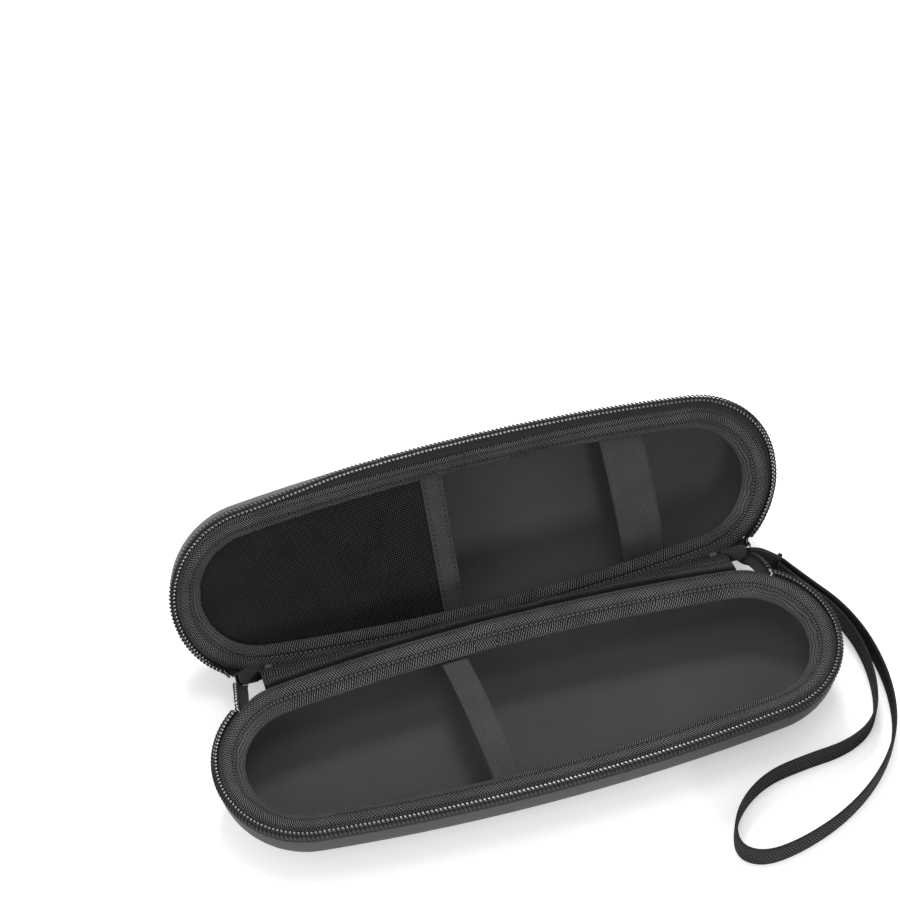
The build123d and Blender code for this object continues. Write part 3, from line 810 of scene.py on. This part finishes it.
def tape_lap(name, half):
    """The tape's end, sewn over its own start and curled up."""
    way = -1 if half else 1

    def place(u, v):
        lift = 0.75 - 0.5 * u ** 3 + 0.7 * max(0.0, 1 - u / 0.2) ** 2 * (0.3 + abs(2 * v - 1))
        slant = 2.0 * (v - 0.5) * (1 - u)
        return tape_point(LAP_AT[half] - way * (LAP_LENGTH * u + slant), v, half, lift)
    return cloth_strip(name, 18, 24, place, (LAP_LENGTH, TAPE_WIDTH), thick=0.6, offset=-1.0)


for half, body in enumerate(HALVES):
    tape = to_half(binding(f"{body}_binding", half), half)
    dress(tape, body, "binding", BINDING, f"{body}_binding_tape")
for half, body in enumerate(HALVES):
    lap = to_half(tape_lap(f"{body}_binding_lap", half), half)
    dress(lap, body, "binding", BINDING)

# %% [markdown]
# ## Zip tape and teeth
# The teeth of a coil zip are one nylon thread wound into loops and sewn along the tape's
# edge. One loop is modelled: a half ring is spun from a small circle, its two legs are
# pulled down, and its crown is pressed flat on the inner side and slopes away on the outer,
# because only the flat half catches the light. An Array repeats it at the zip's pitch, and
# the row is then bent round the plan. A dark sewing thread runs along the crowns.

# %% One row of teeth
PITCH, LOOP, WIRE, LEG = 1.65, 0.92, 0.38, 1.5
CROWN, ROOF, RIDGE, THREAD_WIDTH = 0.78, 0.6, 0.3, 0.4
COIL_INSET, COIL_TOP = 1.35, 27.95


def one_tooth(name):
    deselect()
    bpy.ops.mesh.primitive_circle_add(vertices=6, radius=WIRE * MM, location=(0, LOOP * MM, 0))
    obj = bpy.context.object
    obj.name = obj.data.name = name
    bpy.ops.object.transform_apply(location=True, rotation=False, scale=False)
    edit_all(obj)
    bpy.ops.mesh.spin(steps=5, angle=-pi, center=(0, 0, 0), axis=(1, 0, 0))
    leave_edit()
    for end in (1, -1):
        for parts in (obj.data.vertices, obj.data.edges, obj.data.polygons):
            parts.foreach_set("select", [False] * len(parts))
        for vertex in obj.data.vertices:
            vertex.select = abs(vertex.co.z) < 1e-6 and vertex.co.y * end > 0
        only(obj)
        bpy.ops.object.mode_set(mode="EDIT")
        bpy.ops.mesh.extrude_region_move(TRANSFORM_OT_translate={"value": (0, 0, -LEG * MM)})
        leave_edit()
    for vertex in obj.data.vertices:
        x, y, z = vertex.co / MM
        head = max(0.0, z / (LOOP + WIRE))
        slant = -0.35 * y / LOOP + (0.3 * z if z < 0 else 0.0) * (1 if y > 0 else -1)
        roof = CROWN - ROOF * max(0.0, y - RIDGE)
        vertex.co = Vector((x * (1.1 + 0.7 * head) + slant, y, min(z, roof))) * MM
    return obj


def tooth_row(name, count, frame_at, scale=1.0):
    """A straight row of teeth, bent to a line: frame_at(distance) gives point, side, up."""
    obj = one_tooth(name)
    for vertex in obj.data.vertices:
        vertex.co *= scale
    row = obj.modifiers.new("row", "ARRAY")
    row.count = count
    row.use_relative_offset = False
    row.use_constant_offset = True
    row.constant_offset_displace = (PITCH * MM, 0, 0)
    apply_all(obj)
    for vertex in obj.data.vertices:
        x, y, z = vertex.co / MM
        point, side, up = frame_at(x)
        vertex.co = (point + side * y + up * z) * MM
    mend(obj)
    only(obj)
    bpy.ops.object.shade_smooth_by_angle(angle=radians(28))
    return obj


ZIP_FROM, ZIP_TEETH = 111.2, 214


def zip_start(half):
    return ZIP_FROM - half * ROUND / 2


def flare(distance, half):
    """How far the loose edge of the zip leans out; only the lid's does, at its free side."""
    side = (distance + ROUND / 2) % ROUND - ROUND / 2
    lean = 2.2 * ease((side + 85) / 45) * ease((165 - side) / 50)
    return lean + 0.12 * wobble(distance, 3.0, size=9.0) if half else 0.0


def rim_frame(half):
    def at(distance):
        along = zip_start(half) + distance
        (x, y), out = plan_point(along, COIL_INSET - flare(along, half))
        return Vector((x, y, COIL_TOP - CROWN)), Vector((*out, 0)), Vector((0, 0, 1))
    return at


for half, body in enumerate(HALVES):
    teeth = to_half(tooth_row(f"{body}_teeth", ZIP_TEETH, rim_frame(half)), half)
    dress(teeth, body, "zip_coil", TEETH, f"{body}_zip_coil")


def sewing_thread(name, half):
    length = (ZIP_TEETH - 1) * PITCH

    def place(u, v):
        distance = zip_start(half) + u * length
        over = THREAD_WIDTH * v
        (x, y), _ = plan_point(distance, COIL_INSET - flare(distance, half) - RIDGE - over)
        return x, y, COIL_TOP + 0.06 - ROOF * over + 0.05 * sin(u * length / PITCH * 2 * pi)
    return cloth_strip(name, 860, 2, place, (length, THREAD_WIDTH), thick=0.12)


for half, body in enumerate(HALVES):
    thread = to_half(sewing_thread(f"{body}_coil_thread", half), half)
    dress(thread, body, "zip_tape", THREAD)


# %% Zip tape
TAPE_RISE = [(1.35, 22.75), (1.4, 24.2), (1.35, 25.6), (1.35, 26.9)]
TAPE_TURN = [(1.0, 26.3), (1.9, 26.3), (2.9, 26.1), (4.0, 26.1), (5.6, 25.8)]


def zip_strip(name, half, section, width, keep):
    """Zip tape along the teeth; keep is how much of the flare its lower edge takes."""
    length = (ZIP_TEETH + 1) * PITCH

    def place(u, v):
        inset, z = curve_at(section, v)
        distance = zip_start(half) - 1.2 + u * length
        ripple = 0.08 * wobble(distance, v * 4, size=3.0)
        share = v if section is TAPE_RISE else 1 - v
        lean = flare(distance, half) * (keep + (1 - keep) * share)
        (x, y), _ = plan_point(distance, inset + ripple - lean)
        return x, y, z + ripple
    return cloth_strip(name, 430, 6, place, (length, width), thick=0.6)


for half, body in enumerate(HALVES):
    wall = to_half(zip_strip(f"{body}_zip_strip", half, TAPE_RISE, 4.2, 0.0), half)
    dress(wall, body, "zip_tape", ZIP_TAPE, f"{body}_zip_tape")
    turn = to_half(zip_strip(f"{body}_zip_turn", half, TAPE_TURN, 4.6, 0.3), half)
    dress(turn, body, "zip_tape", ZIP_EDGE)

# %% [markdown]
# ## Loose zip ends
# Beside the hinge the zip leaves the rims and hangs free between the halves, with the
# slider on it. The loose teeth are shorter rows of the same loops, bent along the way from
# each rim to the nose of the slider.

# %% Loose teeth
TAIL_SHARE, TAIL_LENGTH, TAIL_WIDTH = 0.75, 24, 6
TRAY_RUN = [(107.241, 28.144, 26.67), (106.7, 32.6, 26.3), (106.041, 36.544, 25.2),
            (105.6, 40.8, 22.6), (105.015, 44.627, 19.536)]
LID_RUN = [(107.241, 54.28, 15.377), (106.6, 52.4, 16.6), (106.241, 50.28, 18.177),
           (105.7, 48.6, 19.8), (105.015, 47.225, 21.036)]
TEETH_UP = Vector((0, 0.5, 0.87)).normalized()


def loose_teeth(name, points):
    """Shorter teeth along a free line, standing towards TEETH_UP."""
    length = sum((Vector(b) - Vector(a)).length for a, b in zip(points, points[1:]))

    def at(distance):
        share = min(max(distance / length, 0.0), 1.0)
        here = Vector(curve_at(points, share))
        ahead = Vector(curve_at(points, min(share + 0.02, 1.0)))
        behind = Vector(curve_at(points, max(share - 0.02, 0.0)))
        along = (ahead - behind).normalized()
        up = (TEETH_UP - along * TEETH_UP.dot(along)).normalized()
        return here + along * (distance - share * length), along.cross(up), up
    return tooth_row(name, int(length / PITCH), at, scale=TAIL_SHARE)


def tail_cloth(name, run, sign):
    """The zip tape between the lid's loose teeth and its rim."""
    def place(u, v):
        teeth = Vector(curve_at(run, u))
        (x, y), _ = plan_point(sign * (ROUND / 2 - ZIP_FROM + TAIL_LENGTH * u), 2.4 + 0.8 * u)
        rim = LID @ (Vector((x, y, 26.0)) * MM) / MM
        sag = 0.6 * sin(pi * v)
        return teeth.lerp(rim, v) - Vector((0, 0.7, 0.7)) * sag
    return cloth_strip(name, 24, 8, place, (TAIL_LENGTH, TAIL_WIDTH), thick=0.5)


def tray_tail_cloth(name, run, sign):
    """The narrow edge of zip tape that carries the tray's loose teeth."""
    def place(u, v):
        teeth = Vector(curve_at(run, u))
        inward = Vector((-0.9 * sign, -0.35, -0.25)) * (0.3 + 4.6 * v)
        return teeth + inward - Vector((0, 0, 0.6 + 0.4 * sin(pi * v)))
    return cloth_strip(name, 24, 8, place, (20, 4.6), thick=0.5)


for sign, side in ((1, "right"), (-1, "left")):
    tray_run, lid_run = ([(sign * x, y, z) for x, y, z in run] for run in (TRAY_RUN, LID_RUN))
    swing = ("tray", f"zip_end_{side}", tray_run[0], tray_run[-1])
    piece = loose_teeth(f"tray_loose_teeth_{side}", tray_run)
    dress(piece, swing, "zip_coil", DULL_TEETH, f"tray_zip_tail_{side}")
    piece = tray_tail_cloth(f"tray_tail_cloth_{side}", tray_run, sign)
    dress(piece, swing, "zip_tape", ZIP_EDGE)
    piece = loose_teeth(f"lid_loose_teeth_{side}", lid_run)
    dress(piece, "lid", "zip_coil", TEETH, f"lid_zip_tail_{side}")
    dress(tail_cloth(f"lid_tail_cloth_{side}", lid_run, sign), "lid", "zip_tape", ZIP_EDGE)

# %% [markdown]
# ## Elastic straps, net pocket and its band
# Elastic straps cross each half to hold a brush handle. They are sewn in under the tape and
# stand up a little in the middle. The left of the lid has a net pocket whose mouth is an
# elastic band with two rows of stitches.

# %% Straps
STRAP_INSET, STRAP_GAP = 5.6, 0.2


def strap_piece(name, width, x, turn, low, rise):
    """Elastic across a half at x, turned by some degrees, higher in the middle."""
    slew = radians(turn)
    over = abs(x) + width / 2 + HALF_WIDTH * sin(slew)
    bow = SIDE_RADIUS - sqrt(SIDE_RADIUS ** 2 - over ** 2)
    reach = (HALF_WIDTH - STRAP_INSET - STRAP_GAP - width / 2 * sin(slew)) / cos(slew) - bow

    def place(u, v):
        y = reach * (2 * u - 1)
        across = width * (v - 0.5)
        edge = abs(2 * v - 1) ** 6 * 0.25
        z = low + rise * (1 - (y / reach) ** 2) + 0.6 - edge + 0.08 * wobble(y, across, size=6.0)
        return x + across * cos(slew) - y * sin(slew), across * sin(slew) + y * cos(slew), z
    return cloth_strip(name, 90, 16, place, (2 * reach, width), thick=1.1, offset=-1.0)


tray_band = strap_piece("tray_elastic", 10.4, -20.2, 4.3, 19.6, 4.6)
lid_band = to_half(strap_piece("lid_elastic", 17.7, 65.0, 3.0, 19.4, 3.4))
dress(tray_band, "tray", "elastic", ELASTIC, "tray_strap")
dress(lid_band, "lid", "elastic", ELASTIC, "lid_strap")


# %% Net pocket
POCKET_INSET, POCKET_Z = 5.8, 21.5
NET_FROM, NET_TO, MOUTH, BAND_WIDTH, NET_WIDTH = -117.2, -17.0, -9.3, 8.7, 70


def pocket_place(x_from, x_to, sag):
    def place(u, v):
        x = x_from + (x_to - x_from) * (1 - cos(u * pi / 2) if sag else u)
        y = (2 * v - 1) * half_width(x, POCKET_INSET)
        dip = sag * (1 - (2 * v - 1) ** 2) * sin(pi * min(1.0, (x - NET_FROM) / 90))
        return x, y, POCKET_Z + 0.2 * wobble(x, y, size=18.0) - dip
    return place


net = cloth_strip("pocket_net", 90, 60, pocket_place(NET_FROM, NET_TO, 0.25), (100, NET_WIDTH),
                  closed=True, thick=0.3)
band = cloth_strip("pocket_band_elastic", 12, 90, pocket_place(MOUTH - BAND_WIDTH, MOUTH, 0.0),
                   (BAND_WIDTH, NET_WIDTH), thick=1.0)
for loop in band.data.uv_layers.active.data:
    loop.uv = (loop.uv[1], loop.uv[0])
dress(to_half(net), "lid", "mesh", NET, "mesh_pocket")
dress(to_half(band), "lid", "elastic", BAND, "pocket_band")

# %% [markdown]
# ## Cloth across the hinge
# A cover of coated cloth joins the halves outside, and a woven gusset closes the gap inside.
# Both are seen folded while the case is open, and are made in that pose, baked in place between the
# two bodies.

# %% Hinge cloth
SHELL_RIM, SHELL_INSET, STAND = 22.8, 1.2, 0.7
LID_FOOT, LEAN_COS, LEAN_SIN = (46.7, 4.908), 0.5, 0.866


def lid_point(inset, depth):
    """Point of the leaning lid's section: behind the middle, above the table."""
    return (LID_FOOT[0] + LEAN_COS * inset + LEAN_SIN * depth,
            LID_FOOT[1] + LEAN_SIN * inset - LEAN_COS * depth)


def bowed(start, end, shares, bow):
    """Points between two, pushed aside by as much as bow in the middle."""
    return [tuple(a + (b - a) * share + push * 4 * share * (1 - share)
                  for a, b, push in zip(start, end, bow)) for share in shares]


def side_drop(x):
    return HALF_WIDTH - half_width(x, 0)


def cover_points(x):
    drop, rim = side_drop(x), SHELL_RIM
    wall = HALF_WIDTH - SHELL_INSET - drop + STAND
    inset = SHELL_INSET + drop - STAND
    edge, end = lid_point(inset, HALF_DEPTH - rim), lid_point(inset, 9.2)
    points = [(wall, rim - 6.6), (wall, rim - 2.2), (wall + 0.1, rim - 0.5),
              (wall + 0.6, rim + 0.4), (wall + 1.4, rim + 0.8), (wall + 2.3, rim + 0.4),
              (wall + 2.9, rim - 0.8)]
    return points + bowed(points[-1], edge, (0.25, 0.5, 0.75), (-3.612, -2.1)) + [edge, end]


def gusset_points(x):
    drop = side_drop(x)
    inset, low = 4.3 + drop, 24.35
    start, turn = (HALF_WIDTH - inset, low), lid_point(drop + 2.2, 0.9)
    under, end = lid_point(drop + 2.4, 2.6), lid_point(inset, HALF_DEPTH - low)
    over = HALF_WIDTH - drop
    points = [start, (start[0] + 1.8, low + 0.2), (over - 0.3, low + 0.5),
              (over + 1.7, low + 0.1)]
    shares = (0.18, 0.36, 0.55, 0.75, 0.9)
    return points + bowed((over + 1.7, low), turn, shares, (2.88, 1.8)) + [turn, under, end]


def crossing(name, points_at, half, thick, ripple):
    middle = points_at(0)
    width = sum(hypot(b[0] - a[0], b[1] - a[1]) for a, b in zip(middle, middle[1:]))

    def place(u, v):
        x = half * (2 * u - 1)
        y, z = curve_at(points_at(x), v)
        fold = ripple * sin(pi * v) * wobble(x, v * 10, size=9.0)
        return x, y + fold, z + fold * 0.6
    obj = cloth_strip(name, 110, 36, place, (2 * half, width), thick=thick)
    print(name, "cut to", round(width, 1), "by", 2 * half, "mm")
    return obj, width


cover, cover_width = crossing("hinge_cover", cover_points, 77.5, 0.8, 0.35)
gusset, gusset_width = crossing("hinge_gusset_cloth", gusset_points, 95.0, 0.7, 0.5)
dress(cover, ("tray", "lid", (0, 41, 22), (0, 52, 9)), "cover", COVER, "spine_cover")
dress(gusset, ("tray", "lid", (0, 41, 24), (0, 50, 8)), "binding", GUSSET, "hinge_gusset")

# %% [markdown]
# ## Sliders, pulls and stops
# Small cast and moulded parts. The model's shapes are right, so each one is copied, its
# loose triangles are merged, and its edges are rounded as casting and tumbling leave them.

# %% Small hard parts
def rounded_copy(node, name, width, segments=2):
    obj = frame["nodes"][node].copy()
    obj.data = obj.data.copy()
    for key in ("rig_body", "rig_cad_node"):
        if key in obj:
            del obj[key]
    obj.parent = None
    obj.hide_render = obj.hide_viewport = False
    obj.name = obj.data.name = name
    bpy.context.scene.collection.objects.link(obj)
    edit_all(obj)
    bpy.ops.mesh.remove_doubles(threshold=1e-6)
    bpy.ops.mesh.dissolve_limited(angle_limit=radians(1))
    bpy.ops.mesh.normals_make_consistent(inside=False)
    leave_edit()
    edge = obj.modifiers.new("worn edge", "BEVEL")
    edge.width = width * MM
    edge.segments = segments
    edge.limit_method = "ANGLE"
    edge.angle_limit = radians(35)
    edge.use_clamp_overlap = True
    apply_all(obj)
    bpy.ops.object.shade_smooth_by_angle(angle=radians(40))
    return obj


SMALL_PARTS = [
    ("strap_slider_body", "strap_slider", "slider", SLIDER, 0.15),
    ("strap_slider_bail", "strap_slider", "slider", RING, 0.2),
    ("ring_slider_body", "ring_slider", "slider", SLIDER, 0.15),
    ("ring_slider_bail", "ring_slider", "slider", SLIDER, 0.2),
    ("ring_pull", "ring_pull", "ring", RING, 0.18),
    ("strap_pull", "strap_pull", "slider", SLIDER, 0.1),
    ("zip_stop_right", "zip_end_right", "zip_stop", STOPS, 0.3),
    ("zip_stop_left", "zip_end_left", "zip_stop", STOPS, 0.3),
]
for node, body, slot, material, width in SMALL_PARTS:
    dress(rounded_copy(node, f"{node}_cast", width), body, slot, material, node)

# %% [markdown]
# ## Sleeve and bar tack
# The strap's two ends are folded over the wire loop and sewn into a sleeve, which starts
# pinched and opens to the webbing's full width, where a bar tack closes it.

# %% Sleeve
SLEEVE = [((103.8, 50.4, 12.0), 2.6, 7.6), ((106.6, 49.5, 11.1), 3.4, 10.2),
          ((110.0, 48.7, 9.9), 3.7, 10.6), ((114.0, 47.3, 8.3), 3.5, 9.4),
          ((118.4, 45.4, 6.6), 2.6, 7.6)]
SLEEVE_ACROSS, SLEEVE_UP = Vector((-0.33, -0.94, 0)), Vector((0.33, -0.115, 0.936))
TACK_SHARE, TACK_SHIFT = 0.8, Vector((0.4, 0.2, 0.9)) * MM


def sleeve_point(u, v):
    middle = Vector(curve_at([s[0] for s in SLEEVE], u))
    wide, tall = curve_at([s[1:] for s in SLEEVE], u)
    a = 2 * pi * v
    pinch = 1 - 0.25 * (1 - abs(sin(a)))
    return middle + SLEEVE_ACROSS * (wide / 2 * squared(cos(a), 0.6) * pinch) \
        + SLEEVE_UP * (tall / 2 * squared(sin(a), 0.8))


sleeve = closed_tube("strap_sleeve_fold", 24, 28, sleeve_point, (11, 24))
dress(sleeve, "strap_pull", "webbing", SLEEVE_CLOTH, "strap_sleeve")
tack = rounded_copy("strap_tack", "strap_tack_sewn", 0.5, 3)
middle = sum((v.co for v in tack.data.vertices), Vector()) / len(tack.data.vertices)
for vertex in tack.data.vertices:
    vertex.co = middle + (vertex.co - middle) * TACK_SHARE + TACK_SHIFT
dress(tack, "strap_pull", "webbing", SLEEVE_CLOTH, "strap_tack")

# %% [markdown]
# ## Floor and light
# A plain white table and backdrop, one large soft lamp overhead and a weaker one from the
# left keep the blacks readable and draw a soft shadow. Two small lamps stand where the flat
# crowns of the teeth mirror them into the camera, one for the tray's row, one for the lid's.
# The world is white to the camera and in reflections, and light grey as a source of light.

# %% Floor and world
FLOOR_SIZE, FLOOR_COLOUR, FLOOR_GLOW, WORLD_LIGHT = 6, (0.86, 0.86, 0.86, 1), 0.34, 0.68
WHITE = (1, 1, 1, 1)

deselect()
bpy.ops.mesh.primitive_plane_add(size=FLOOR_SIZE)
floor_plane = bpy.context.object
floor_plane.name = "floor"
paper, tree, ins = new_material("white table", 0.9, Specular_IOR_Level=0.0)
ins["Base Color"].default_value = FLOOR_COLOUR
ins["Emission Color"].default_value = WHITE
rays = tree.nodes.new("ShaderNodeLightPath").outputs
glow = calc("MULTIPLY", rays["Is Camera Ray"], FLOOR_GLOW)
link(glow, ins["Emission Strength"])
floor_plane.data.materials.append(paper)

world = bpy.data.worlds.new("studio")
bpy.context.scene.world = world
world.use_nodes = True
sky = world.node_tree.nodes["Background"]
sky.inputs["Color"].default_value = WHITE
rays = world.node_tree.nodes.new("ShaderNodeLightPath").outputs
seen = calc("MAXIMUM", rays["Is Glossy Ray"], rays["Is Transmission Ray"])
seen = calc("MAXIMUM", rays["Is Camera Ray"], seen)
link(calc("MULTIPLY_ADD", seen, 1.0 - WORLD_LIGHT, WORLD_LIGHT), sky.inputs["Strength"])


def soft_lamp(name, place, aim, size, power):
    bpy.ops.object.light_add(type="AREA", location=place)
    lamp = bpy.context.object
    lamp.name = name
    lamp.data.size = size
    lamp.data.energy = power
    lamp.rotation_mode = "QUATERNION"
    lamp.rotation_quaternion = (Vector(aim) - Vector(place)).to_track_quat("-Z", "Y")


soft_lamp("overhead", (0.1, 0.1, 1.35), (0, 0.03, 0), 0.5, 4.0)
soft_lamp("back_glint", (0.22, 0.88, 1.07), (0, 0.03, 0.02), 0.3, 9.0)
soft_lamp("left_fill", (-1.1, -0.5, 0.7), (0, 0.03, 0.02), 0.6, 4)
soft_lamp("front_glint", (0.2, -1.16, 0.26), (0, 0.06, 0.05), 0.27, 5.5)
bpy.context.scene.view_settings.view_transform = "Standard"
